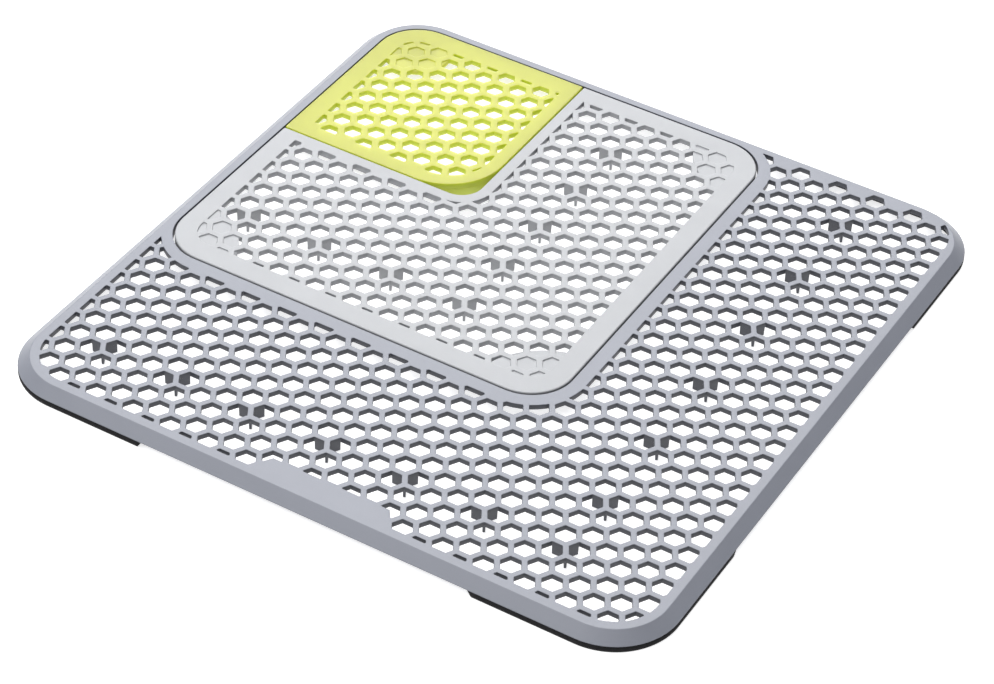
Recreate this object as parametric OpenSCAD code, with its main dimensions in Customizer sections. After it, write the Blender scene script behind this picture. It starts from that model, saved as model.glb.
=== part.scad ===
// Three nesting sink mats: a large mat with a corner recess, an L-shaped medium mat
// that drops into the recess, and a small mat that fills the corner of the L.
// Origin at the middle of the footprint on the worktop, +Z up, -Y the long front edge
// with the blank plate. All three mats share one honeycomb.

/* [Heights] */
// Top face of every mat above the worktop
top_z = 7.5; // [6.5:0.1:10]
// Thickness of the perforated decks
deck_t = 2.5; // [1.8:0.1:3]
// Lower edge of the sloping skirt above the worktop
skirt_z = 3; // [2:0.1:3.5]
// Air under the three-bladed feet, so that the rubber takes the load
foot_air = 0.2; // [0.1:0.1:0.5]

/* [Honeycomb] */
// Distance between neighbouring hole centres
pitch = 10.4; // [10:0.1:11]
// Hole width across flats on the large mat
large_hole = 8; // [7:0.1:8.4]
// Hole width across flats on the medium mat
medium_hole = 7.7; // [7:0.1:8.2]
// Hole width across flats on the small mat
small_hole = 7.2; // [6.5:0.1:8]
// Centre of the hole that the honeycomb is counted from
grid_at = [2.8, 2.4]; // [-5:0.1:5]
// Depth of the blind pockets over the foot pads
pocket_depth = 0.6; // [0.3:0.1:1]

/* [Large mat] */
// Flat top, side to side
large_x = 290; // [280:1:300]
// Flat top, front to back
large_y = 300; // [290:1:310]
// Corner radius of the flat top
large_r = 24; // [22:0.5:28]
// How far the skirt spreads beyond the flat top
skirt_out = 5; // [3:0.1:7]
// Width of the skirt's lower edge
skirt_t = 2.6; // [1.8:0.1:3]
// Width of the rails behind and left of the recess
rail_w = 3.5; // [2.8:0.1:4]
// Solid border outside the holes
border_w = 4; // [3.5:0.1:5]
// Solid band between the recess and the holes
recess_band = 6.3; // [5:0.1:8]
// Corner radius of the recess
recess_r = 20.2; // [19:0.1:20.6]
// Thickness of the wall under the recess edge
recess_wall_t = 1.5; // [1:0.1:2]
// Blank plate on the front border: width of its upper edge
plate_top = 53.6; // [40:0.2:70]
// Blank plate: width along the border
plate_base = 65.2; // [50:0.2:90]
// Blank plate: how far it reaches in from the front edge
plate_reach = 12.4; // [9:0.1:18]

/* [Rubber] */
// Length of each leg of a corner strip, from the skirt's sharp corner
strip_leg = 75; // [50:1:90]
// Width of a corner strip, which lies under the skirt's lower edge
strip_w = 3; // [2.6:0.1:4]
// Length of the slope at each end of a corner strip
strip_slope = 2; // [1:0.1:3]
// Radius of the foot pads
pad_r = 9.5; // [8:0.1:11]
// Distance from the middle of a foot pad to each of the two edges beside it
pad_in = 16; // [14:0.1:17]

/* [Medium mat] */
// Side to side
medium_x = 191; // [180:1:200]
// Front to back
medium_y = 198; // [190:1:205]
// Outer corner radius
medium_r = 20; // [18:0.5:22]
// Radius of the inner corner of the L
notch_r = 10.5; // [8:0.5:12]
// Gap between the medium mat and the recess on the left, right, front and back
recess_gap = [0.5, 0.7, 0.9, 0.5]; // [0.4:0.1:1.2]
// Solid border on the left, right, front and back
medium_border = [9.3, 10, 10.4, 10]; // [6:0.1:14]
// Solid border along both arms of the inner corner
notch_border = 5.4; // [5.1:0.1:7]
// How far from an outer corner the cells are only blind pockets
medium_blind_r = 34.8; // [34:0.1:35.5]

/* [Small mat] */
// Side to side
small_x = 95; // [90:1:100]
// Front to back
small_y = 100; // [95:1:105]
// Radius of the corner that fits the large mat's corner
small_back_r = 20; // [18:0.5:22]
// Radius of the finger corner of the deck
small_front_r = 28; // [22:0.5:30]
// How much tighter the wall's finger corner is, which leaves a small ledge
finger_ledge = 1; // [0.5:0.1:2]
// Gap between the small mat and the medium mat
notch_gap = 0.5; // [0.4:0.1:1]
// Solid border on the left, right, front and back
small_border = [9.2, 6.5, 7.4, 10.4]; // [6:0.1:14]
// Distance from the middle of the disc of blind pockets to the two edges beside it
small_blind_in = 18.2; // [17:0.1:19]
// Radius of the disc of blind pockets
small_blind_r = 15.2; // [14.9:0.1:16]

/* [Walls and feet] */
// Width of the plain band round the medium and small decks
band_w = 5; // [4:0.1:6]
// Thickness of the walls under the medium and small mats
wall_t = 1.6; // [1.2:0.1:2]
// Gap under the medium mat's wall
wall_air = 0.8; // [0.5:0.1:1.5]
// Length of each blade of a three-bladed foot
blade_l = 5.7; // [4:0.1:6]
// Thickness of each blade
blade_t = 1.3; // [1:0.1:2]

/* [Hidden] */

$fn = 96;
cut = 1;
sharp_r = 0.8;
zone_ease = 2;
deck_z = top_z - deck_t;
column_step = pitch * sqrt(3) / 2;
centre_to_rib_end = pitch / sqrt(3) / 2;

half_x = large_x / 2;
half_y = large_y / 2;

// The recess and the medium mat inside it
recess_left = -half_x + rail_w;
recess_back = half_y - rail_w;
medium_left = recess_left + recess_gap[0];
medium_back = recess_back - recess_gap[3];
medium_right = medium_left + medium_x;
medium_front = medium_back - medium_y;
recess_right = medium_right + recess_gap[1];
recess_front = medium_front - recess_gap[2];
frame_right = recess_right + recess_band;
frame_front = recess_front - recess_band;
rim_inner_r = large_r - rail_w;

// The small mat and the notch that it leaves in the medium mat
small_right = medium_left + small_x;
small_front = medium_back - small_y;
notch_right = small_right + notch_gap;
notch_front = small_front - notch_gap;

// The outer corners of the medium and small mats, which have the foot pads
medium_corners = [
    [medium_left, medium_front], [medium_right, medium_front], [medium_right, medium_back]
];
small_corner = [medium_left, medium_back];

plastic_large = [0.68, 0.7, 0.74];
plastic_medium = [0.84, 0.85, 0.87];
plastic_small = [0.8, 0.86, 0.25];
rubber_black = [0.1, 0.1, 0.11];

// A rectangle with its own radius at the front-left, front-right, back-right and back-left
module rounded(left, front, right, back, r) {
    corners = [[left, front], [right, front], [right, back], [left, back]];
    inward = [[1, 1], [-1, 1], [-1, -1], [1, -1]];
    difference() {
        translate([left, front]) square([right - left, back - front]);
        for (i = [0:3])
            if (r[i] > 0)
                translate(corners[i]) face_inward(inward[i]) difference() {
                    translate([-cut, -cut]) square(r[i] + cut);
                    translate([r[i], r[i]]) circle(r[i]);
                }
    }
}

// Turns a corner cutter drawn for the front-left corner to point inward at another corner
module face_inward(inward) {
    mirror([inward[0] < 0 ? 1 : 0, 0]) mirror([0, inward[1] < 0 ? 1 : 0]) children();
}

// Hole centres of the shared honeycomb between two corners
function hole_centres(left, front, right, back) = [
    for (column = [-20:20], row = [-18:18])
        let (x = grid_at[0] + column * column_step)
        let (y = grid_at[1] + (row + (column % 2 == 0 ? 0 : 0.5)) * pitch)
        if (x > left && x < right && y > front && y < back) [x, y]
];

// Hexagonal cutters with flats to the front and back
module hexes(centres, across, low, high) {
    for (at = centres)
        translate([at[0], at[1], low]) cylinder(h = high - low, r = across / sqrt(3), $fn = 6);
}

// The joint where three ribs meet, next to the hole in a given column and row
function rib_joint(column, row) = [
    grid_at[0] + column * column_step + centre_to_rib_end,
    grid_at[1] + row * pitch + pitch / 2
];

// A foot of three blades, one under each rib
module tri_foot(at) {
    translate([at[0], at[1], foot_air]) linear_extrude(deck_z - foot_air)
        for (turn = [60, 180, 300])
            rotate(turn) translate([0, -blade_t / 2]) square([blade_l, blade_t]);
}

// An outline of offset and height, run along one side and round the corner after it
module edge_and_corner(edge, run_from, run_to, r, profile) {
    translate([edge, run_to, 0]) rotate([90, 0, 0]) linear_extrude(run_to - run_from) polygon(profile);
    translate([edge - r, run_to, 0]) rotate_extrude(angle = 90) translate([r, 0]) polygon(profile);
}

// ---- Large mat ----

// Border rail and sloping skirt, one ring
module large_rim() {
    underside = skirt_out * deck_t / (top_z - skirt_z) - skirt_t;
    profile = [
        [-rail_w, deck_z], [-rail_w, top_z], [0, top_z], [skirt_out, skirt_z],
        [skirt_out - skirt_t, skirt_z], [underside, deck_z]
    ];
    color(plastic_large) for (turn = [0:3]) {
        edge = turn % 2 == 0 ? half_x : half_y;
        side = turn % 2 == 0 ? half_y : half_x;
        rotate(90 * turn) edge_and_corner(edge, large_r - side, side - large_r, large_r, profile);
    }
}

// Where the large mat may have holes: inside its border, outside the recess and blank plate
module large_hole_zone() {
    hole_r = large_r - border_w;
    band_r = recess_r + recess_band;
    plate_y = -half_y + plate_reach;
    slope = (plate_base - plate_top) / 2 / (plate_reach - border_w);
    foot_half = plate_base / 2 + slope * border_w;
    difference() {
        rounded(-half_x + border_w, -half_y + border_w, half_x - border_w, half_y,
            [hole_r, hole_r, hole_r, 0]);
        rounded(-half_x - cut, frame_front, frame_right, half_y + cut, [band_r, band_r, band_r, 0]);
        polygon([
            [grid_at[0] - foot_half, -half_y], [grid_at[0] + foot_half, -half_y],
            [grid_at[0] + plate_top / 2, plate_y], [grid_at[0] - plate_top / 2, plate_y]
        ]);
    }
}

// The large mat's holes near a region; along the back border only whole holes are made
module large_holes(left, front, right, back) {
    back_limit = min(back + pitch, half_y - border_w);
    intersection() {
        hexes(hole_centres(left - pitch, front - pitch, right + pitch, back_limit),
            large_hole, deck_z - cut, top_z + cut);
        translate([0, 0, deck_z - 2 * cut]) linear_extrude(deck_t + 4 * cut) large_hole_zone();
    }
}

// Solid L round the recess, with the wall that guides the medium mat
module large_recess_frame() {
    wall_r = recess_r + recess_wall_t;
    color(plastic_large) {
        difference() {
            translate([0, 0, deck_z]) linear_extrude(deck_t) difference() {
                union() {
                    translate([recess_left, frame_front])
                        square([frame_right - recess_left, recess_r + recess_band]);
                    translate([recess_right - recess_r, frame_front])
                        square([recess_r + recess_band, recess_back - frame_front]);
                }
                rounded(recess_left, recess_front, recess_right, recess_back,
                    [recess_r, recess_r, recess_r, recess_r]);
            }
            large_holes(recess_left, frame_front, recess_left + 2 * recess_r, recess_front + recess_r);
            large_holes(recess_right - 2 * recess_r, frame_front, frame_right, recess_front + recess_r);
            large_holes(recess_right - recess_r, recess_back - recess_r, frame_right, recess_back);
        }
        translate([0, 0, skirt_z]) linear_extrude(deck_z - skirt_z) difference() {
            rounded(recess_left - recess_wall_t, recess_front - recess_wall_t,
                recess_right + recess_wall_t, recess_back + recess_wall_t,
                [wall_r, wall_r, wall_r, wall_r]);
            rounded(recess_left, recess_front, recess_right, recess_back,
                [recess_r, recess_r, recess_r, recess_r]);
        }
    }
}

// Perforated deck in front of the recess
module large_front_grid() {
    color(plastic_large) difference() {
        translate([0, 0, deck_z]) linear_extrude(deck_t)
            rounded(recess_left, -half_y + rail_w, -recess_left, frame_front,
                [rim_inner_r, rim_inner_r, 0, 0]);
        large_holes(recess_left, -half_y, -recess_left, frame_front);
    }
}

// Perforated deck to the right of the recess
module large_side_grid() {
    color(plastic_large) difference() {
        translate([0, 0, deck_z]) linear_extrude(deck_t)
            rounded(frame_right, frame_front, -recess_left, recess_back, [0, 0, rim_inner_r, 0]);
        large_holes(frame_right, frame_front, -recess_left, recess_back);
    }
}

// Thirteen three-bladed feet: a row along the front and a column up the right side
module large_feet() {
    color(plastic_large) {
        for (column = [-14:4:10]) tri_foot(rib_joint(column, -12));
        for (row = [-9:4:11]) tri_foot(rib_joint(10, row));
    }
}

// One rubber strip round the back-right corner, under the skirt's lower edge
module corner_strip() {
    run = strip_leg - skirt_out - large_r;
    outer = skirt_out;
    inner = skirt_out - strip_w;
    leg = [[-run, skirt_z], [strip_slope - run, 0], [0, 0], [0, skirt_z]];
    color(rubber_black) {
        translate([half_x - large_r, half_y - large_r, 0]) rotate_extrude(angle = 90)
            translate([large_r + inner, 0]) square([strip_w, skirt_z]);
        translate([half_x + inner, half_y - large_r, 0]) rotate([90, 0, 90])
            linear_extrude(strip_w) polygon(leg);
        translate([half_x - large_r, half_y + outer, 0]) rotate([90, 0, 0])
            linear_extrude(strip_w) polygon(leg);
    }
}

module strip_back_right() { corner_strip(); }
module strip_back_left() { mirror([1, 0, 0]) corner_strip(); }
module strip_front_right() { mirror([0, 1, 0]) corner_strip(); }
module strip_front_left() { rotate(180) corner_strip(); }

// ---- Medium mat ----

// Outline of the L, drawn in by the same amount all round
module medium_outline(inset, inner_r) {
    r = medium_r - inset;
    difference() {
        rounded(medium_left + inset, medium_front + inset, medium_right - inset, medium_back - inset,
            [r, r, r, 0]);
        rounded(medium_left - cut, notch_front - inset, notch_right + inset, medium_back + cut,
            [0, inner_r, 0, 0]);
    }
}

// Where the medium mat may have holes
module medium_hole_zone() {
    r = medium_r - medium_border[1];
    difference() {
        rounded(medium_left + medium_border[0], medium_front + medium_border[2],
            medium_right - medium_border[1], medium_back - medium_border[3], [r, r, r, 0]);
        rounded(medium_left - cut, notch_front - notch_border, notch_right + notch_border,
            medium_back + cut, [0, notch_r + notch_border, 0, 0]);
    }
}

// The medium mat's holes near a region: through, but only pockets near the outer corners
module medium_holes(left, front, right, back) {
    centres = hole_centres(left - pitch, front - pitch, right + pitch, back + pitch);
    intersection() {
        hexes(centres, medium_hole, top_z - pocket_depth, top_z + cut);
        translate([0, 0, deck_z]) linear_extrude(deck_t + 2 * cut) medium_hole_zone();
    }
    intersection() {
        hexes(centres, medium_hole, deck_z - cut, top_z + cut);
        translate([0, 0, deck_z - 2 * cut]) linear_extrude(deck_t + 4 * cut) difference() {
            medium_hole_zone();
            for (at = medium_corners) translate(at) circle(medium_blind_r);
        }
    }
}

// Plain band round the L, with the wall under its edge
module medium_rim() {
    color(plastic_medium) {
        difference() {
            translate([0, 0, deck_z]) linear_extrude(deck_t) difference() {
                medium_outline(0, notch_r);
                medium_outline(band_w, 0);
            }
            medium_holes(notch_right - 2 * notch_r, notch_front - band_w, notch_right + band_w,
                notch_front + notch_r);
        }
        translate([0, 0, wall_air]) linear_extrude(deck_z - wall_air) difference() {
            medium_outline(0, notch_r);
            medium_outline(wall_t, notch_r + wall_t);
        }
    }
}

// Perforated arm along the front of the L
module medium_front_grid() {
    r = medium_r - band_w;
    left = medium_left + band_w;
    front = medium_front + band_w;
    right = medium_right - band_w;
    back = notch_front - band_w;
    color(plastic_medium) difference() {
        translate([0, 0, deck_z]) linear_extrude(deck_t) rounded(left, front, right, back, [r, r, 0, 0]);
        medium_holes(left, front, right, back);
    }
}

// Perforated arm up the right of the L
module medium_side_grid() {
    r = medium_r - band_w;
    left = notch_right + band_w;
    front = notch_front - band_w;
    right = medium_right - band_w;
    back = medium_back - band_w;
    color(plastic_medium) difference() {
        translate([0, 0, deck_z]) linear_extrude(deck_t) rounded(left, front, right, back, [0, 0, r, 0]);
        medium_holes(left, front, right, back);
    }
}

// Eight three-bladed feet along the two arms
module medium_feet() {
    color(plastic_medium) {
        for (column = [-14:4:-2]) tri_foot(rib_joint(column, -2));
        for (row = [1:3:10]) tri_foot(rib_joint(-2, row));
    }
}

// Round rubber pad, with a softened lower edge, glued under a deck beside a corner
module foot_pad(corner, inward) {
    ease = 0.8;
    color(rubber_black) translate([corner[0] + inward[0] * pad_in, corner[1] + inward[1] * pad_in, 0])
        rotate_extrude()
            polygon([[0, 0], [pad_r - ease, 0], [pad_r, ease], [pad_r, deck_z], [0, deck_z]]);
}

module medium_pad_left() { foot_pad(medium_corners[0], [1, 1]); }
module medium_pad_front() { foot_pad(medium_corners[1], [-1, 1]); }
module medium_pad_right() { foot_pad(medium_corners[2], [-1, -1]); }

// ---- Small mat ----

module small_outline(inset, finger_r) {
    corner_r = max(sharp_r - inset, 0);
    rounded(medium_left + inset, small_front + inset, small_right - inset, medium_back - inset,
        [corner_r, finger_r - inset, corner_r, small_back_r - inset]);
}

// The small mat's holes: through, but only pockets near the corner with the foot pad
module small_holes() {
    centres = hole_centres(medium_left, small_front, small_right, medium_back);
    finger_r = small_front_r - small_border[1] - zone_ease;
    intersection() {
        hexes(centres, small_hole, top_z - pocket_depth, top_z + cut);
        translate([0, 0, deck_z]) linear_extrude(deck_t + 2 * cut) small_hole_zone(finger_r);
    }
    intersection() {
        hexes(centres, small_hole, deck_z - cut, top_z + cut);
        translate([0, 0, deck_z - 2 * cut]) linear_extrude(deck_t + 4 * cut) difference() {
            small_hole_zone(finger_r);
            translate(small_corner + small_blind_in * [1, -1]) circle(small_blind_r);
        }
    }
}

module small_hole_zone(finger_r) {
    rounded(medium_left + small_border[0], small_front + small_border[2],
        small_right - small_border[1], medium_back - small_border[3],
        [0, finger_r, 0, small_back_r - small_border[3]]);
}

// Plain band round the small deck, with the wall that it stands on
module small_rim() {
    wall_finger_r = small_front_r - finger_ledge;
    color(plastic_small) {
        translate([0, 0, deck_z]) linear_extrude(deck_t) difference() {
            small_outline(0, small_front_r);
            small_outline(band_w, small_front_r);
        }
        linear_extrude(deck_z) difference() {
            small_outline(0, wall_finger_r);
            small_outline(wall_t, wall_finger_r);
        }
    }
}

// Perforated deck of the small mat
module small_grid() {
    color(plastic_small) difference() {
        translate([0, 0, deck_z]) linear_extrude(deck_t) small_outline(band_w, small_front_r);
        small_holes();
    }
}

module small_pad() { foot_pad(small_corner, [1, -1]); }

large_rim();
large_recess_frame();
large_front_grid();
large_side_grid();
large_feet();
strip_front_left();
strip_front_right();
strip_back_left();
strip_back_right();
medium_rim();
medium_front_grid();
medium_side_grid();
medium_feet();
medium_pad_left();
medium_pad_front();
medium_pad_right();
small_rim();
small_grid();
small_pad();
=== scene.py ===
import math

import bmesh
import bpy
from mathutils import Matrix, Quaternion, Vector
from mathutils.geometry import delaunay_2d_cdt


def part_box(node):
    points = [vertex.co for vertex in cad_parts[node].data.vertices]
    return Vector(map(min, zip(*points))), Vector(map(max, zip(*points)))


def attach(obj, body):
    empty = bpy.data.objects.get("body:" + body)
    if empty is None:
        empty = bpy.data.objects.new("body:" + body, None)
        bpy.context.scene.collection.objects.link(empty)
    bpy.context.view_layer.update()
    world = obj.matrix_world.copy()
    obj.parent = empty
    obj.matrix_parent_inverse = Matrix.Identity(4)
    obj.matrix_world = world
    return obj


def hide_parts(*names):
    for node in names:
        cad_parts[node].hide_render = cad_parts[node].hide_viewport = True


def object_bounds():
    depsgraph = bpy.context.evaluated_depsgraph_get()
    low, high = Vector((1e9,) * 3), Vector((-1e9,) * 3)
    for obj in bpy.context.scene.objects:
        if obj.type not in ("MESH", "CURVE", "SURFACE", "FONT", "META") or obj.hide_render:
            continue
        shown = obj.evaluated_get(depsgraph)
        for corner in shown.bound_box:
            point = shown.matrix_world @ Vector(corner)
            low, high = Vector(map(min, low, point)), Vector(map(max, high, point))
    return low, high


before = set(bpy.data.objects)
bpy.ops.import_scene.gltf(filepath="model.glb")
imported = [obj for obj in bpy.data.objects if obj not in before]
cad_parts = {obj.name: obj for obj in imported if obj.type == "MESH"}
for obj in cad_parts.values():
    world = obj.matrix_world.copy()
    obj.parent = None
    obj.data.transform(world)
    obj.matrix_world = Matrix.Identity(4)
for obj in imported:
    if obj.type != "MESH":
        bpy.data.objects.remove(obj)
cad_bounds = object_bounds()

scene = bpy.context.scene


# ==== Camera ====
# A long lens in front of the mats and to their right, looking down on the middle of the
# set with the camera body tilted a little.
camera_azimuth = math.radians(28.86)
camera_elevation = math.radians(40.15)
camera_tilt = math.radians(2.98)
camera_distance = 1.2865
camera_lens = 114.1
sensor_width = 36
aim_offset = Vector((0.0130, -0.0293, 0.0))

cad_low, cad_high = cad_bounds
aim = Vector(((cad_low.x + cad_high.x) / 2, (cad_low.y + cad_high.y) / 2, cad_high.z)) + aim_offset
towards_camera = Vector((
    math.sin(camera_azimuth) * math.cos(camera_elevation),
    -math.cos(camera_azimuth) * math.cos(camera_elevation),
    math.sin(camera_elevation),
))
camera_data = bpy.data.cameras.new("camera")
camera_data.sensor_width = sensor_width
camera_data.lens = camera_lens
camera = bpy.data.objects.new("camera", camera_data)
camera.location = aim + towards_camera * camera_distance
camera.rotation_mode = "QUATERNION"
level_view = (-towards_camera).to_track_quat("-Z", "Y")
camera.rotation_quaternion = level_view @ Quaternion((0, 0, 1), camera_tilt)
scene.collection.objects.link(camera)
scene.camera = camera


# ==== Large mat ====
# The mat that the set is built on: one injection moulding in mid grey plastic. A flat
# honeycomb deck with a sloping skirt, a walled recess in its back left corner, and
# three-bladed feet under the joints of the ribs.
rim_low, rim_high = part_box("large_rim")
deck_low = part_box("large_front_grid")[0].z
top = rim_high.z
skirt_out = 0.005
skirt_foot = 0.0026
skirt_low = rim_low.z
large_r = 0.024
half_x = rim_high.x - skirt_out
half_y = rim_high.y - skirt_out

gap_left, gap_right, gap_front, gap_back = 0.0005, 0.0007, 0.0009, 0.0005
recess_wall = 0.0015
recess_r = 0.0202
medium_low, medium_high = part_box("medium_rim")
recess_left = medium_low.x - gap_left
recess_front = medium_low.y - gap_front
recess_right = medium_high.x + gap_right
recess_back = medium_high.y + gap_back

pitch = 0.0104
honeycomb_at = Vector((0.0028, 0.0024))
large_hole = 0.008
hole_corner = 0.00045
large_border = 0.004
recess_band = 0.0063
plate_top = 0.0536
plate_base = 0.0652
plate_reach = 0.0124
past_edge = 0.001

blade_length = 0.0057
blade_width = 0.0013
blade_root = 0.00025
blade_crotch_r = 0.0006
blade_tip_r = 0.0003
blade_draft = 0.00008
blade_ease = 0.00015
front_foot_row = -12
side_foot_column = 10
foot_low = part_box("large_feet")[0].z


def rounded(corners, steps=12, pieces=1):
    """A closed outline through corners (x, y, radius): each is turned on an arc of steps a
    quarter turn, and each straight side is in that many pieces."""
    least_turn = math.radians(12)
    longest_reach = 0.45
    points = []
    count = len(corners)
    for i, (x, y, radius) in enumerate(corners):
        here = Vector((x, y))
        back = Vector(corners[i - 1][:2]) - here
        on = Vector(corners[(i + 1) % count][:2]) - here
        sign = 1 if on.cross(back) > 0 else -1
        turn = math.pi - back.angle(on)
        if radius <= 0 or turn < least_turn:
            points.append([here])
            continue
        reach = min(radius * math.tan(turn / 2), longest_reach * back.length, longest_reach * on.length)
        radius = reach / math.tan(turn / 2)
        centre = here + (back.normalized() + on.normalized()).normalized() * radius / math.cos(turn / 2)
        arm = here + back.normalized() * reach - centre
        arc_steps = max(1, round(steps * turn / math.radians(90)))
        points.append([
            centre + Matrix.Rotation(sign * turn * k / arc_steps, 2) @ arm for k in range(arc_steps + 1)
        ])
    outline = []
    for i, arc in enumerate(points):
        outline += arc
        start, end = arc[-1], points[(i + 1) % count][0]
        outline += [start.lerp(end, k / pieces) for k in range(1, pieces)]
    return outline


def box_corners(left, front, right, back, radii):
    """The corners of a rectangle, with radii at front left, front right, back right, back left."""
    places = [(left, front), (right, front), (right, back), (left, back)]
    return [(x, y, radius) for (x, y), radius in zip(places, radii)]


def spread(outline, distance):
    """The outline grown outwards by a distance, or drawn in where that is negative."""
    grown = []
    for i, here in enumerate(outline):
        before = (here - outline[i - 1]).normalized()
        after = (outline[(i + 1) % len(outline)] - here).normalized()
        normal = Vector((before.y + after.y, -before.x - after.x))
        grown.append(here + normal * distance / (1 + before.dot(after)))
    return grown


def hexagon(centre, across):
    """A hexagon with flats to the front and back."""
    radius = across / math.sqrt(3)
    return [centre + radius * Vector((math.cos(a), math.sin(a))) for a in (k * math.pi / 3 for k in range(6))]


def honeycomb(left, front, right, back):
    """Centres of the honeycomb's cells between these sides."""
    column_step = pitch * math.sqrt(3) / 2
    columns, rows = range(-20, 21), range(-18, 19)
    for column in columns:
        for row in rows:
            shift = 0.5 if column % 2 else 0
            centre = honeycomb_at + Vector((column * column_step, (row + shift) * pitch))
            if left < centre.x < right and front < centre.y < back:
                yield centre


mm_per_metre = 1000
as_triangles, as_whole_faces = 0, 3


def planar(outlines, face_kind):
    """Blender's planar arrangement of outlines, worked out in millimetres."""
    weld_distance = 1e-5
    flat = [point * mm_per_metre for outline in outlines for point in outline]
    faces = []
    first = 0
    for outline in outlines:
        faces.append(list(range(first, first + len(outline))))
        first += len(outline)
    return delaunay_2d_cdt(flat, [], faces, face_kind, weld_distance)


def area(outline):
    """An outline's area, below zero where it runs clockwise."""
    return sum(a.cross(b) for a, b in zip(outline, outline[1:] + outline[:1])) / 2


def cut_holes(centres, across, inside, outside):
    """Hexagonal holes, cut off where they leave the inside outline or enter an outside one,
    with eased corners. Scraps under the least area aren't made."""
    least_area = 0.8e-6
    cells = [hexagon(centre, across) for centre in centres]
    first_cell = 1 + len(outside)
    points, _, faces, _, _, sources = planar([inside, *outside, *cells], as_whole_faces)
    holes = []
    for face, source in zip(faces, sources):
        if 0 not in source or max(source) < first_cell or any(1 <= s < first_cell for s in source):
            continue
        corners = [points[i] / mm_per_metre for i in face]
        if area(corners) < 0:
            corners.reverse()
        if area(corners) > least_area:
            holes.append(rounded([(c.x, c.y, hole_corner) for c in corners], steps=3))
    return holes


def raise_ring(bm, outline, height):
    """The outline as a ring of vertices at that height."""
    return [bm.verts.new((point.x, point.y, height)) for point in outline]


def skin(bm, rings):
    """Faces between rings of vertices, in order. Returns the last ring."""
    for upper, lower in zip(rings, rings[1:]):
        for i in range(len(upper)):
            j = (i + 1) % len(upper)
            bm.faces.new((upper[i], upper[j], lower[j], lower[i]))
    return rings[-1]


def fill(bm, outer, inner):
    """A flat face inside the outer ring, open inside each of the inner rings."""
    rings = [outer, *inner]
    verts = [vert for ring in rings for vert in ring]
    _, _, faces, origins, _, sources = planar([[vert.co.xy for vert in ring] for ring in rings], as_triangles)
    for face, source in zip(faces, sources):
        if source == [0]:
            bm.faces.new([verts[origins[i][0]] for i in face])


def hole_walls(bm, holes, high_edge, low_edge, draft, bottom):
    """Rounds each hole's upper edge, drops its wall with some draft and eases its lower edge.
    Returns the rings in the top face and in the underside."""
    highs, lows = [], []
    for hole in holes:
        rings = [
            raise_ring(bm, spread(hole, high_edge), top),
            raise_ring(bm, spread(hole, 0.3 * high_edge), top - 0.3 * high_edge),
            raise_ring(bm, hole, top - high_edge),
            raise_ring(bm, spread(hole, -draft), bottom + low_edge),
            raise_ring(bm, spread(hole, low_edge - draft), bottom),
        ]
        highs.append(rings[0])
        lows.append(skin(bm, rings))
    return highs, lows


def bladed_feet(bm, joints, bottom, low):
    """Feet of three blades, each blade under a rib. Returns their rings in the underside."""
    rings = []
    for joint in joints:
        corners = []
        for turn in (60, 180, 300):
            along = Matrix.Rotation(math.radians(turn), 2)
            crotch = along @ Matrix.Rotation(math.radians(-60), 2) @ Vector((blade_width / math.sqrt(3), 0))
            right_tip = along @ Vector((blade_length, -blade_width / 2))
            left_tip = along @ Vector((blade_length, blade_width / 2))
            corners += [
                (*(joint + crotch), blade_crotch_r),
                (*(joint + right_tip), blade_tip_r),
                (*(joint + left_tip), blade_tip_r),
            ]
        blades = rounded(corners, steps=4)
        feet_rings = [
            raise_ring(bm, spread(blades, blade_root), bottom),
            raise_ring(bm, spread(blades, 0.3 * blade_root), bottom - 0.3 * blade_root),
            raise_ring(bm, blades, bottom - blade_root),
            raise_ring(bm, spread(blades, -blade_draft), low + blade_ease),
            raise_ring(bm, spread(blades, -blade_draft - blade_ease), low),
        ]
        rings.append(feet_rings[0])
        fill(bm, skin(bm, feet_rings), [])
    return rings


def rib_joint(column, row):
    """The joint where three ribs meet, beside a cell of the honeycomb."""
    return honeycomb_at + pitch * Vector((column * math.sqrt(3) / 2 + 1 / math.sqrt(3) / 2, row + 0.5))


def finished_piece(bm, name, material, body, nodes):
    """Makes the mesh an object that shades flat on its flats and softly round its edges."""
    bmesh.ops.recalc_face_normals(bm, faces=bm.faces)
    mesh = bpy.data.meshes.new(name)
    for face in bm.faces:
        face.smooth = True
    bm.to_mesh(mesh)
    bm.free()
    piece = bpy.data.objects.new(name, mesh)
    scene.collection.objects.link(piece)
    mesh.materials.append(material)
    shading = piece.modifiers.new("edge shading", "WEIGHTED_NORMAL")
    shading.weight = 100
    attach(piece, body)
    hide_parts(*nodes)


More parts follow.
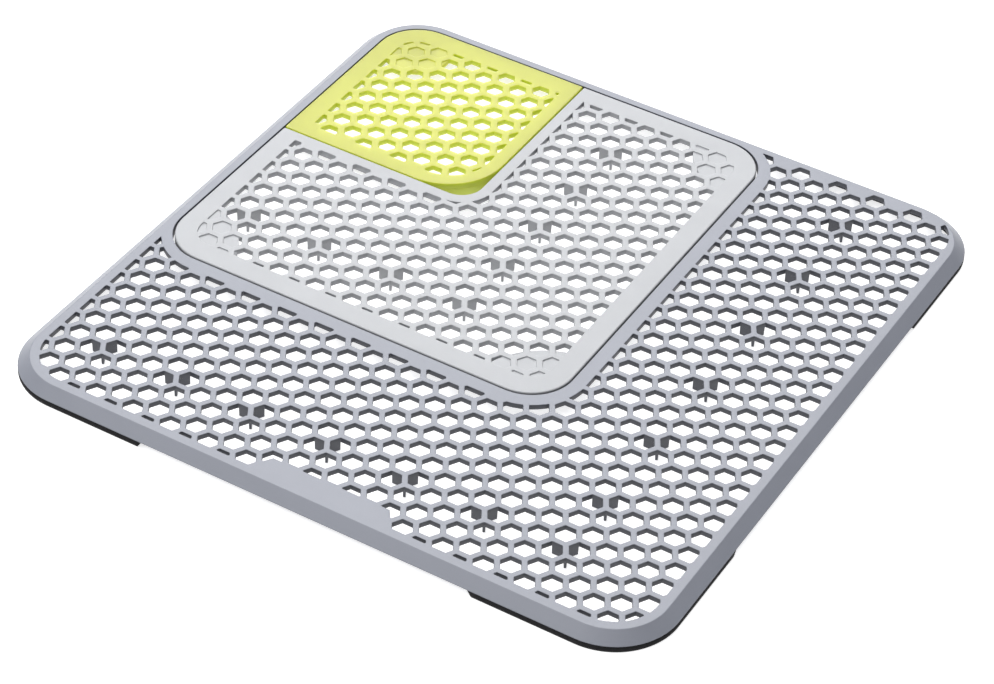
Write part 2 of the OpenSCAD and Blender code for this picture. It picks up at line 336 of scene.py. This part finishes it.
def moulded_plastic(name, colour, painted_wall_shade, roughness, grain, scatter=0.0, scatter_reach=0.002):
    """Satin moulded plastic: flow marks that shift the colour a little, a fine sparked grain,
    a painted shade on the upright walls that stands in for the shade inside the holes, and,
    in the paler plastics, some light that travels inside."""
    flow_shade = 0.95
    sheen_spread = 0.06
    material = bpy.data.materials.new(name)
    material.use_nodes = True
    nodes, links = material.node_tree.nodes, material.node_tree.links
    shader = nodes["Principled BSDF"]
    place = nodes.new("ShaderNodeTexCoord")

    flow = nodes.new("ShaderNodeTexNoise")
    flow.inputs["Scale"].default_value = 28
    flow.inputs["Detail"].default_value = 4
    flow.inputs["Distortion"].default_value = 1.2
    links.new(place.outputs["Object"], flow.inputs["Vector"])
    shades = nodes.new("ShaderNodeValToRGB")
    shades.color_ramp.elements[0].position = 0.3
    shades.color_ramp.elements[0].color = (*(flow_shade * c for c in colour), 1)
    shades.color_ramp.elements[1].position = 0.7
    shades.color_ramp.elements[1].color = (*colour, 1)
    links.new(flow.outputs["Fac"], shades.inputs["Fac"])

    # Painted shade: faces that stand upright take the wall colour, in place of the shade that falls inside the
    # holes and gaps.
    facing = nodes.new("ShaderNodeSeparateXYZ")
    links.new(place.outputs["Normal"], facing.inputs["Vector"])
    levelness = nodes.new("ShaderNodeMath")
    levelness.operation = "ABSOLUTE"
    links.new(facing.outputs["Z"], levelness.inputs[0])
    upright = nodes.new("ShaderNodeMapRange")
    upright.inputs["From Min"].default_value = 0.15
    upright.inputs["From Max"].default_value = 0.55
    upright.inputs["To Min"].default_value = 1
    upright.inputs["To Max"].default_value = 0
    links.new(levelness.outputs["Value"], upright.inputs["Value"])
    shaded = nodes.new("ShaderNodeMix")
    shaded.data_type = "RGBA"
    links.new(upright.outputs["Result"], shaded.inputs["Factor"])
    links.new(shades.outputs["Color"], shaded.inputs["A"])
    shaded.inputs["B"].default_value = (*painted_wall_shade, 1)
    links.new(shaded.outputs["Result"], shader.inputs["Base Color"])

    sparks = nodes.new("ShaderNodeTexNoise")
    sparks.inputs["Scale"].default_value = 2600
    sparks.inputs["Detail"].default_value = 3
    links.new(place.outputs["Object"], sparks.inputs["Vector"])
    sheen = nodes.new("ShaderNodeMapRange")
    sheen.inputs["To Min"].default_value = roughness - sheen_spread
    sheen.inputs["To Max"].default_value = roughness + sheen_spread
    links.new(sparks.outputs["Fac"], sheen.inputs["Value"])
    links.new(sheen.outputs["Result"], shader.inputs["Roughness"])
    bump = nodes.new("ShaderNodeBump")
    bump.inputs["Strength"].default_value = grain
    bump.inputs["Distance"].default_value = 0.00006
    links.new(sparks.outputs["Fac"], bump.inputs["Height"])
    links.new(bump.outputs["Normal"], shader.inputs["Normal"])

    shader.inputs["IOR"].default_value = 1.49
    if scatter:
        shader.inputs["Subsurface Weight"].default_value = scatter
        shader.inputs["Subsurface Radius"].default_value = (1, 1, 1)
        shader.inputs["Subsurface Scale"].default_value = scatter_reach
    return material


def large_outline(out):
    """The edge of the flat top, moved outwards."""
    radius = large_r + out
    corners = box_corners(-half_x - out, -half_y - out, half_x + out, half_y + out, [radius] * 4)
    return rounded(corners, steps=16, pieces=26)


def recess_outline(out):
    """The edge of the recess, moved out into the mat."""
    radius = recess_r + out
    corners = box_corners(recess_left - out, recess_front - out, recess_right + out, recess_back + out,
                          [radius] * 4)
    return rounded(corners, steps=16, pieces=18)


def large_mat():
    """The whole moulding: deck, skirt, recess wall and feet."""
    zone_r = large_r - large_border
    zone = rounded(box_corners(-half_x + large_border, -half_y + large_border, half_x - large_border, half_y,
                               [zone_r, zone_r, zone_r, 0]))
    band_r = recess_r + recess_band
    band = rounded(box_corners(-half_x - past_edge, recess_front - recess_band, recess_right + recess_band,
                               half_y + past_edge, [band_r, band_r, band_r, 0]))
    plate_x = honeycomb_at.x
    plate_low = -half_y + large_border
    plate_high = -half_y + plate_reach
    flare = (plate_base - plate_top) / 2 * large_border / (plate_reach - large_border)
    plate = [
        Vector((plate_x - plate_base / 2 - flare, plate_low - large_border)),
        Vector((plate_x + plate_base / 2 + flare, plate_low - large_border)),
        Vector((plate_x + plate_top / 2, plate_high)),
        Vector((plate_x - plate_top / 2, plate_high)),
    ]
    centres = honeycomb(-half_x, -half_y, half_x, half_y - large_border)
    holes = cut_holes(centres, large_hole, zone, [band, plate])

    bm = bmesh.new()
    edge = 0.0003
    skirt_rise = top - skirt_low
    outer_rings = [
        raise_ring(bm, large_outline(-edge), top),
        raise_ring(bm, large_outline(-0.3 * edge), top - 0.1 * edge),
        raise_ring(bm, large_outline(0.5 * edge), top - 0.6 * edge),
        raise_ring(bm, large_outline(skirt_out - 0.5 * edge), skirt_low + 0.9 * edge),
        raise_ring(bm, large_outline(skirt_out), skirt_low + 0.4 * edge),
        raise_ring(bm, large_outline(skirt_out - 0.3 * edge), skirt_low),
        raise_ring(bm, large_outline(skirt_out - skirt_foot), skirt_low),
        raise_ring(bm, large_outline(skirt_out * (top - deck_low) / skirt_rise - skirt_foot), deck_low),
    ]
    recess_rings = [
        raise_ring(bm, recess_outline(edge), top),
        raise_ring(bm, recess_outline(0.3 * edge), top - 0.3 * edge),
        raise_ring(bm, recess_outline(0), top - edge),
        raise_ring(bm, recess_outline(0), skirt_low + 0.5 * edge),
        raise_ring(bm, recess_outline(0.5 * edge), skirt_low),
        raise_ring(bm, recess_outline(recess_wall - 0.5 * edge), skirt_low),
        raise_ring(bm, recess_outline(recess_wall), skirt_low + 0.5 * edge),
        raise_ring(bm, recess_outline(recess_wall), deck_low),
    ]
    skin(bm, outer_rings)
    skin(bm, recess_rings)
    highs, lows = hole_walls(bm, holes, high_edge=0.00025, low_edge=0.00015, draft=0.00006, bottom=deck_low)
    joints = [rib_joint(column, front_foot_row) for column in range(-14, 11, 4)]
    joints += [rib_joint(side_foot_column, row) for row in range(-9, 12, 4)]
    feet = bladed_feet(bm, joints, deck_low, foot_low)
    fill(bm, outer_rings[0], [recess_rings[0], *highs])
    fill(bm, outer_rings[-1], [recess_rings[-1], *lows, *feet])
    return bm


# The wall colour is painted shade: far darker than the plastic, for the shade on the walls of the holes.
mid_grey = moulded_plastic("mid grey plastic", colour=(0.199, 0.209, 0.243),
                           painted_wall_shade=(0.050, 0.053, 0.066), roughness=0.42, grain=0.35)
finished_piece(large_mat(), "large_mat", mid_grey, "large_mat",
               ["large_rim", "large_recess_frame", "large_front_grid", "large_side_grid", "large_feet"])


# ==== Rubber corner strips ====
# Four strips of black rubber, glued under the lower edge of the skirt round the corners. The
# mat stands on them, so its skirt is clear of the worktop.
strip_leg = 0.075
strip_width = 0.003
strip_ease = 0.0007
strip_end_slope = 0.002


def corner_path():
    """Points and outward directions along the flat top's back right corner."""
    leg_steps, arc_steps = 8, 24
    run = strip_leg - skirt_out - large_r
    centre = Vector((half_x - large_r, half_y - large_r))
    path = [(Vector((half_x, centre.y - run + run * k / leg_steps)), Vector((1, 0))) for k in range(leg_steps)]
    for k in range(arc_steps + 1):
        angle = math.radians(90) * k / arc_steps
        out = Vector((math.cos(angle), math.sin(angle)))
        path.append((centre + out * large_r, out))
    path += [(Vector((centre.x - run * k / leg_steps, half_y)), Vector((0, 1)))
             for k in range(1, leg_steps + 1)]
    return path


def corner_strip(side_x, side_y):
    """A strip for the back right corner, turned over to the corner on the given sides."""
    inner = skirt_out - strip_width
    section = [
        (inner, strip_ease / 2), (inner + strip_ease / 2, 0),
        (skirt_out - strip_ease, 0), (skirt_out - 0.3 * strip_ease, 0.3 * strip_ease),
        (skirt_out, strip_ease), (skirt_out, skirt_low), (inner, skirt_low),
    ]
    bm = bmesh.new()
    path = corner_path()
    last = len(path) - 1
    rings = []
    for k, (point, out) in enumerate(path):
        tangent = Vector((-out.y, out.x))
        end = 1 if k == 0 else -1 if k == last else 0
        ring = []
        for outwards, height in section:
            place = point + out * outwards + tangent * end * strip_end_slope * (1 - height / skirt_low)
            ring.append(bm.verts.new((side_x * place.x, side_y * place.y, height)))
        rings.append(ring)
    skin(bm, rings)
    bm.faces.new(rings[0])
    bm.faces.new(rings[-1])
    return bm


def black_rubber_material():
    """Matt black rubber with a faint bloom of dust."""
    material = bpy.data.materials.new("black rubber")
    material.use_nodes = True
    nodes, links = material.node_tree.nodes, material.node_tree.links
    shader = nodes["Principled BSDF"]
    place = nodes.new("ShaderNodeTexCoord")
    dust = nodes.new("ShaderNodeTexNoise")
    dust.inputs["Scale"].default_value = 420
    dust.inputs["Detail"].default_value = 6
    links.new(place.outputs["Object"], dust.inputs["Vector"])
    shades = nodes.new("ShaderNodeValToRGB")
    shades.color_ramp.elements[0].position = 0.35
    shades.color_ramp.elements[0].color = (0.006, 0.006, 0.007, 1)
    shades.color_ramp.elements[1].position = 0.8
    shades.color_ramp.elements[1].color = (0.014, 0.014, 0.015, 1)
    links.new(dust.outputs["Fac"], shades.inputs["Fac"])
    links.new(shades.outputs["Color"], shader.inputs["Base Color"])
    bump = nodes.new("ShaderNodeBump")
    bump.inputs["Strength"].default_value = 0.3
    bump.inputs["Distance"].default_value = 0.0001
    links.new(dust.outputs["Fac"], bump.inputs["Height"])
    links.new(bump.outputs["Normal"], shader.inputs["Normal"])
    shader.inputs["Roughness"].default_value = 0.75
    shader.inputs["Specular IOR Level"].default_value = 0.2
    return material


black_rubber = black_rubber_material()
for strip_name, side_x, side_y in [
    ("strip_front_left", -1, -1), ("strip_front_right", 1, -1),
    ("strip_back_right", 1, 1), ("strip_back_left", -1, 1),
]:
    finished_piece(corner_strip(side_x, side_y), "rubber_" + strip_name, black_rubber, "large_mat",
                   [strip_name])


# ==== Medium mat ====
# An L-shaped moulding in light grey plastic that lies loose in the recess. Its edge is
# softly rounded, a wall hangs under it, and near its outer corners, over the foot pads, the
# cells are only shallow blind pockets.
medium_r = 0.020
notch_r = 0.0105
medium_wall = 0.0016
medium_hole = 0.0077
medium_border_left = 0.0093
medium_border_side = 0.010
medium_border_front = 0.0104
notch_border = 0.0054
notch_gap = 0.0005
pocket_depth = 0.0006
small_low, small_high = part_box("small_rim")
notch_right = small_high.x + notch_gap
notch_front = small_low.y - notch_gap
medium_blind_r = 0.0348
medium_tip_r = 0.0006
medium_edge = 0.0007
medium_wall_ease = 0.0002
sharpest_r = 0.00005
medium_foot_row = -2
medium_foot_column = -2


def medium_outline(inset):
    """The L's edge, drawn in by the inset."""
    radius = medium_r - inset
    left, front = medium_low.x + inset, medium_low.y + inset
    right, back = medium_high.x - inset, medium_high.y - inset
    tip_r = max(medium_tip_r - inset, sharpest_r)
    corners = [
        (left, front, radius), (right, front, radius), (right, back, radius),
        (notch_right + inset, back, tip_r), (notch_right + inset, notch_front - inset, notch_r + inset),
        (left, notch_front - inset, tip_r),
    ]
    return rounded(corners, steps=12, pieces=14)


def pocketed_holes(bm, holes, discs, high_edge, low_edge, draft, bottom):
    """Holes that are closed where they lie over a disc, which leaves a shallow pocket there.
    Returns the rings in the top face and in the underside."""
    highs, lows = [], []
    floor_z = top - pocket_depth
    for hole in holes:
        disc = next((d for d in discs if min((p - d[0]).length - d[1] for p in hole) < 0), None)
        outline = with_crossings(hole, disc) if disc else hole
        rings = [
            raise_ring(bm, spread(outline, high_edge), top),
            raise_ring(bm, spread(outline, 0.3 * high_edge), top - 0.3 * high_edge),
            raise_ring(bm, outline, top - high_edge),
        ]
        highs.append(rings[0])
        if disc is None:
            through, through_ring = outline, rings[-1]
        else:
            rings.append(raise_ring(bm, outline, floor_z))
            through, through_ring = close_over_disc(bm, outline, rings[-1], disc, floor_z)
        skin(bm, rings)
        if through:
            lows.append(skin(bm, [
                through_ring,
                raise_ring(bm, spread(through, -draft), bottom + low_edge),
                raise_ring(bm, spread(through, low_edge - draft), bottom),
            ]))
    return highs, lows


def with_crossings(outline, disc):
    """The outline with a point put in wherever it crosses the disc's edge."""
    centre, radius = disc
    halvings = 40
    points = []
    for i, start in enumerate(outline):
        end = outline[(i + 1) % len(outline)]
        points.append(start)
        if ((start - centre).length < radius) != ((end - centre).length < radius):
            low, high = 0.0, 1.0
            for _ in range(halvings):
                middle = (low + high) / 2
                covered = (start.lerp(end, middle) - centre).length < radius
                same = covered == ((start - centre).length < radius)
                low, high = (middle, high) if same else (low, middle)
            points.append(start.lerp(end, low))
    return points


def close_over_disc(bm, outline, ring, disc, height):
    """Closes the part of the ring that lies over the disc. Returns the outline and the ring
    of what stays open, or two empty lists where that is hardly anything."""
    centre, radius = disc
    tolerance = 1e-7
    least_opening = 1.5e-6
    arc_pieces = 5
    places = [(point - centre).length - radius for point in outline]
    count = len(outline)
    leaving = [i for i in range(count) if abs(places[i]) < tolerance and places[(i + 1) % count] > tolerance]
    if not leaving:
        bm.faces.new(ring)
        return [], []
    order = [(leaving[0] + k) % count for k in range(count)]
    stop = next(k for k in range(1, count) if places[order[k]] < tolerance)
    outside, inside = order[:stop + 1], order[stop:] + order[:1]
    a, b = outline[outside[-1]] - centre, outline[outside[0]] - centre
    turn = math.atan2(a.cross(b), a.dot(b))
    arc = [centre + Matrix.Rotation(turn * k / arc_pieces, 2) @ a for k in range(1, arc_pieces)]
    if area([outline[i] for i in outside] + arc) < least_opening:
        bm.faces.new(ring)
        return [], []
    arc_ring = raise_ring(bm, arc, height)
    bm.faces.new([ring[i] for i in inside] + arc_ring[::-1])
    return [outline[i] for i in outside] + arc, [ring[i] for i in outside] + arc_ring


def medium_mat():
    """The whole moulding: deck, wall, pockets and feet."""
    left, front = medium_low.x + medium_border_left, medium_low.y + medium_border_front
    right, back = medium_high.x - medium_border_side, medium_high.y - medium_border_side
    zone_r = medium_r - medium_border_side
    zone = rounded(box_corners(left, front, right, back, [zone_r, zone_r, zone_r, 0]))
    notch = rounded(box_corners(medium_low.x - past_edge, notch_front - notch_border,
                                notch_right + notch_border, medium_high.y + past_edge,
                                [0, notch_r + notch_border, 0, 0]))
    holes = cut_holes(honeycomb(left - pitch, front - pitch, right + pitch, back + pitch), medium_hole,
                      zone, [notch])
    discs = [(Vector(corner), medium_blind_r) for corner in (
        medium_low.xy, (medium_high.x, medium_low.y), medium_high.xy)]
    bm = bmesh.new()
    wall_low = medium_low.z
    outer_rings = [
        raise_ring(bm, medium_outline(medium_edge), top),
        raise_ring(bm, medium_outline(0.6 * medium_edge), top - 0.08 * medium_edge),
        raise_ring(bm, medium_outline(0.3 * medium_edge), top - 0.3 * medium_edge),
        raise_ring(bm, medium_outline(0.08 * medium_edge), top - 0.6 * medium_edge),
        raise_ring(bm, medium_outline(0), top - medium_edge),
        raise_ring(bm, medium_outline(0), wall_low + medium_wall_ease),
        raise_ring(bm, medium_outline(medium_wall_ease), wall_low),
        raise_ring(bm, medium_outline(medium_wall - medium_wall_ease), wall_low),
        raise_ring(bm, medium_outline(medium_wall), wall_low + medium_wall_ease),
        raise_ring(bm, medium_outline(medium_wall), deck_low),
    ]
    skin(bm, outer_rings)
    highs, lows = pocketed_holes(bm, holes, discs, high_edge=0.0003, low_edge=0.00015, draft=0.0001,
                                 bottom=deck_low)
    joints = [rib_joint(column, medium_foot_row) for column in range(-14, -1, 4)]
    joints += [rib_joint(medium_foot_column, row) for row in range(1, 11, 3)]
    feet = bladed_feet(bm, joints, deck_low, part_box("medium_feet")[0].z)
    fill(bm, outer_rings[0], highs)
    fill(bm, outer_rings[-1], lows + feet)
    return bm


# The wall colour is painted shade, a little darker than the plastic.
light_grey = moulded_plastic("light grey plastic", colour=(0.316, 0.323, 0.338),
                             painted_wall_shade=(0.282, 0.288, 0.302), roughness=0.40, grain=0.3,
                             scatter=0.4, scatter_reach=0.002)
finished_piece(medium_mat(), "medium_mat", light_grey, "medium_mat",
               ["medium_rim", "medium_front_grid", "medium_side_grid", "medium_feet"])


# ==== Medium mat's foot pads ====
# Three round pads of the same black rubber, glued under the deck at the rounded corners,
# with a groove near the edge of the face that they stand on.
pad_groove = 0.0004
pad_sides = 72
# Steps in from the pad's side, and their heights: the bevel, then the groove.
pad_steps = [
    (0.0, 0.0009), (0.0002, 0.0003), (0.0007, 0.0),
    (0.0022, 0.0), (0.0025, pad_groove), (0.0034, pad_groove), (0.0037, 0.0),
]


def foot_pad(node):
    """A pad turned to the size and place of its node."""
    low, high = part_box(node)
    centre = ((low + high) / 2).xy
    radius = (high.x - low.x) / 2
    profile = [(radius, high.z), *((radius - inset, height) for inset, height in pad_steps), (radius / 2, 0.0)]
    bm = bmesh.new()
    rings = []
    for ring_radius, height in profile:
        circle = [centre + ring_radius * Vector((math.cos(a), math.sin(a)))
                  for a in (2 * math.pi * k / pad_sides for k in range(pad_sides))]
        rings.append(raise_ring(bm, circle, height))
    skin(bm, rings)
    bm.faces.new(rings[0])
    bm.faces.new(rings[-1])
    return bm


for pad_name in ("medium_pad_left", "medium_pad_front", "medium_pad_right"):
    finished_piece(foot_pad(pad_name), "rubber_" + pad_name, black_rubber, "medium_mat",
                   [pad_name])


# ==== Small mat ====
# A nearly square moulding in lime green plastic that fills the notch of the L and stands on
# its wall. The wide corner leaves room for a fingertip, and over the foot pad near the
# opposite corner the cells are blind pockets.
small_back_r = 0.020
small_finger_r = 0.028
finger_ledge = 0.001
small_sharp_r = 0.0008
small_wall = 0.0016
small_hole = 0.0072
small_border_left = 0.0092
small_border_right = 0.0065
small_border_front = 0.0074
small_border_back = 0.0104
small_blind_in = 0.0182
small_blind_r = 0.0152
small_edge = 0.0004
small_wall_ease = 0.0003
finger_border = 0.002
ledge_step = 0.0001


def small_outline(inset, finger_r):
    """The mat's edge, drawn in by the inset, with that radius at the finger corner."""
    sharp_r = max(small_sharp_r - inset, sharpest_r)
    corners = box_corners(small_low.x + inset, small_low.y + inset, small_high.x - inset, small_high.y - inset,
                          [sharp_r, finger_r - inset, sharp_r, small_back_r - inset])
    return rounded(corners, steps=16, pieces=10)


def small_mat():
    """The whole moulding: deck, wall, pockets and finger ledge."""
    finger_zone_r = small_finger_r - small_border_right - finger_border
    zone = rounded(box_corners(
        small_low.x + small_border_left, small_low.y + small_border_front,
        small_high.x - small_border_right, small_high.y - small_border_back,
        [0, finger_zone_r, 0, small_back_r - small_border_back]))
    holes = cut_holes(honeycomb(small_low.x, small_low.y, small_high.x, small_high.y), small_hole, zone, [])
    disc = (Vector((small_low.x + small_blind_in, small_high.y - small_blind_in)), small_blind_r)
    bm = bmesh.new()
    wall_r = small_finger_r - finger_ledge
    outer_rings = [
        raise_ring(bm, small_outline(small_edge, small_finger_r), top),
        raise_ring(bm, small_outline(0.3 * small_edge, small_finger_r), top - 0.3 * small_edge),
        raise_ring(bm, small_outline(0, small_finger_r), top - small_edge),
        raise_ring(bm, small_outline(0, small_finger_r), deck_low),
        raise_ring(bm, small_outline(0, wall_r), deck_low - ledge_step),
        raise_ring(bm, small_outline(0, wall_r), small_wall_ease),
        raise_ring(bm, small_outline(small_wall_ease, wall_r), 0),
        raise_ring(bm, small_outline(small_wall - small_wall_ease, wall_r), 0),
        raise_ring(bm, small_outline(small_wall, wall_r), small_wall_ease),
        raise_ring(bm, small_outline(small_wall, wall_r), deck_low),
    ]
    skin(bm, outer_rings)
    highs, lows = pocketed_holes(bm, holes, [disc], high_edge=0.00035, low_edge=0.0002, draft=0.0002,
                                 bottom=deck_low)
    fill(bm, outer_rings[0], highs)
    fill(bm, outer_rings[-1], lows)
    return bm


# The wall colour is painted shade: the upright walls take a deeper, more saturated green than the tops.
lime_green = moulded_plastic("lime green plastic", colour=(0.333, 0.342, 0.030),
                             painted_wall_shade=(0.310, 0.362, 0.018), roughness=0.40, grain=0.3,
                             scatter=1.0, scatter_reach=0.010)
finished_piece(small_mat(), "small_mat", lime_green, "small_mat",
               ["small_rim", "small_grid"])


# ==== Small mat's foot pad ====
# One more of the round rubber pads, glued under the corner that fits the large mat's
# corner.
finished_piece(foot_pad("small_pad"), "rubber_small_pad", black_rubber, "small_mat",
               ["small_pad"])


# ==== Floor and light ====
# A pale matt floor, one wide soft light overhead and one behind, which puts the sheen on
# the flat tops and leaves the walls that face forward darker, deepened by the painted shade in the plastics'
# wall colours.
def floor_material():
    """Matt white, and glowing a little, so that it stays pale under the mats."""
    material = bpy.data.materials.new("pale floor")
    material.use_nodes = True
    nodes, links = material.node_tree.nodes, material.node_tree.links
    shader = nodes["Principled BSDF"]
    speckle = nodes.new("ShaderNodeTexNoise")
    speckle.inputs["Scale"].default_value = 6
    shades = nodes.new("ShaderNodeValToRGB")
    shades.color_ramp.elements[0].color = (0.60, 0.60, 0.60, 1)
    shades.color_ramp.elements[1].color = (0.62, 0.62, 0.62, 1)
    links.new(speckle.outputs["Fac"], shades.inputs["Fac"])
    links.new(shades.outputs["Color"], shader.inputs["Base Color"])
    shader.inputs["Roughness"].default_value = 0.9
    shader.inputs["Specular IOR Level"].default_value = 0.1
    shader.inputs["Emission Color"].default_value = (1, 1, 1, 1)
    shader.inputs["Emission Strength"].default_value = 0.75
    return material


floor_mesh = bpy.data.meshes.new("floor")
floor_half = 6.0
floor_mesh.from_pydata([
    (-floor_half, -floor_half, 0), (floor_half, -floor_half, 0),
    (floor_half, floor_half, 0), (-floor_half, floor_half, 0),
], [], [(0, 1, 2, 3)])
floor_mesh.materials.append(floor_material())
floor = bpy.data.objects.new("floor", floor_mesh)
scene.collection.objects.link(floor)


def soft_light(name, azimuth, elevation, distance, size, power):
    """A square soft light that shines on the mats from a direction round them."""
    data = bpy.data.lights.new(name, "AREA")
    data.shape = "SQUARE"
    data.size = size
    data.energy = power
    light = bpy.data.objects.new(name, data)
    a, e = math.radians(azimuth), math.radians(elevation)
    away = Vector((math.sin(a) * math.cos(e), -math.cos(a) * math.cos(e), math.sin(e)))
    light.location = away * distance
    light.rotation_mode = "QUATERNION"
    light.rotation_quaternion = (-away).to_track_quat("-Z", "Y")
    scene.collection.objects.link(light)


soft_light("overhead light", azimuth=300, elevation=75, distance=1.6, size=2.0, power=45)
soft_light("back light", azimuth=208.8, elevation=42, distance=1.7, size=1.5, power=28)

world = bpy.data.worlds.new("studio")
world.use_nodes = True
world.node_tree.nodes["Background"].inputs["Color"].default_value = (0.93, 0.96, 1.0, 1)
world.node_tree.nodes["Background"].inputs["Strength"].default_value = 0.13
scene.world = world
scene.view_settings.view_transform = "Standard"
